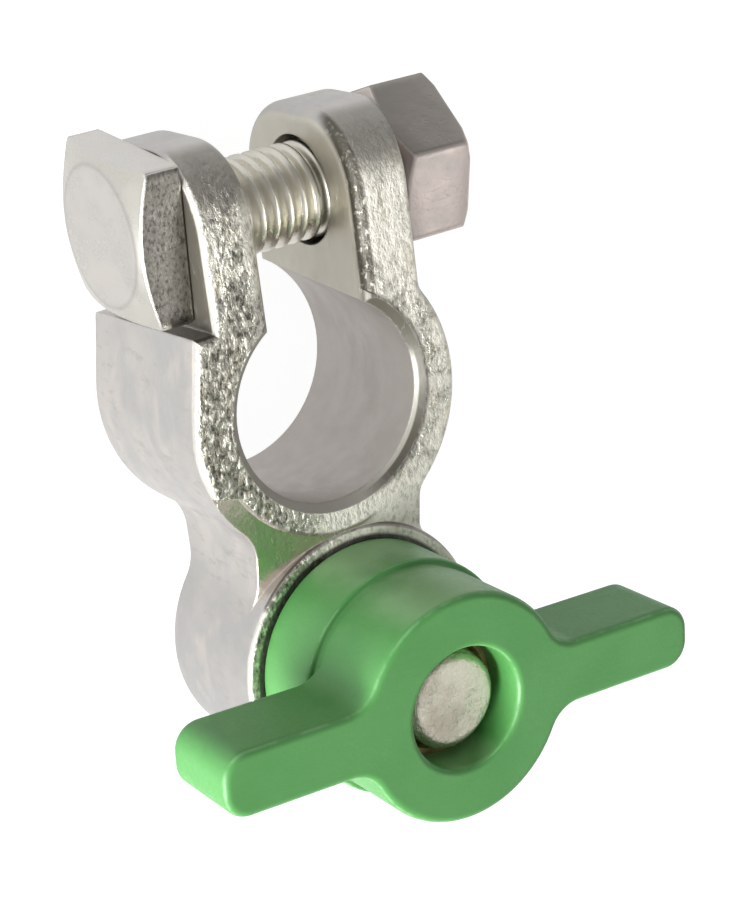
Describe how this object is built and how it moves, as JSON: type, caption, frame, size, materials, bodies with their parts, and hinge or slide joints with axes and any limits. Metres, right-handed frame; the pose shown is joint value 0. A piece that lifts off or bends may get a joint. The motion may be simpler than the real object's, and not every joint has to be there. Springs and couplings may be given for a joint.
{
  "type": "battery terminal clamp",
  "caption": "Cast battery terminal clamp with a split ring, square-headed clamp bolt and nut, and a threaded stud carrying a green wing nut.",
  "frame": {"origin": "centre of the post bore at the underside of the ring", "axes": "+Z along the post bore and stud, towards the wing nut; +X along the clamp bolt from its square head to its nut; +Y from the stud boss towards the split ears"},
  "size_m": [0.043, 0.0542, 0.0303],
  "materials": {
    "casting": "tin-plated casting, satin sides and grainy front faces",
    "bolt_steel": "bright zinc plate, satin",
    "stud_metal": "plated, scratched end face",
    "green_plastic": "satin moulded plastic",
    "insert_metal": "turned"
  },
  "bodies": {
    "clamp": {"clamp_body": "casting", "clamp_bolt": "bolt_steel", "terminal_stud": "stud_metal"},
    "nut": {"clamp_nut": "bolt_steel"},
    "wing_insert": {"wing_nut_insert": "insert_metal"},
    "wing": {"wing_nut": "green_plastic"}
  },
  "joints": [
    {"name": "clamp_nut_turn", "type": "hinge", "parent": "clamp", "child": "nut", "pos_m": [0.0125, 0.01465, 0.0082], "axis": [1, 0, 0], "continuous": true},
    {"name": "wing_travel", "type": "slide", "parent": "clamp", "child": "wing_insert", "axis": [0, 0, 1], "range_m": [0, 0.01125]},
    {"name": "wing_turn", "type": "hinge", "parent": "wing_insert", "child": "wing", "pos_m": [0, -0.0214, 0.0164], "axis": [0, 0, 1], "range_deg": [0, 3240]}
  ],
  "couplings": [
    {"joint": "wing_turn", "follows": "wing_travel", "rad_per_m": 5026.5}
  ]
}
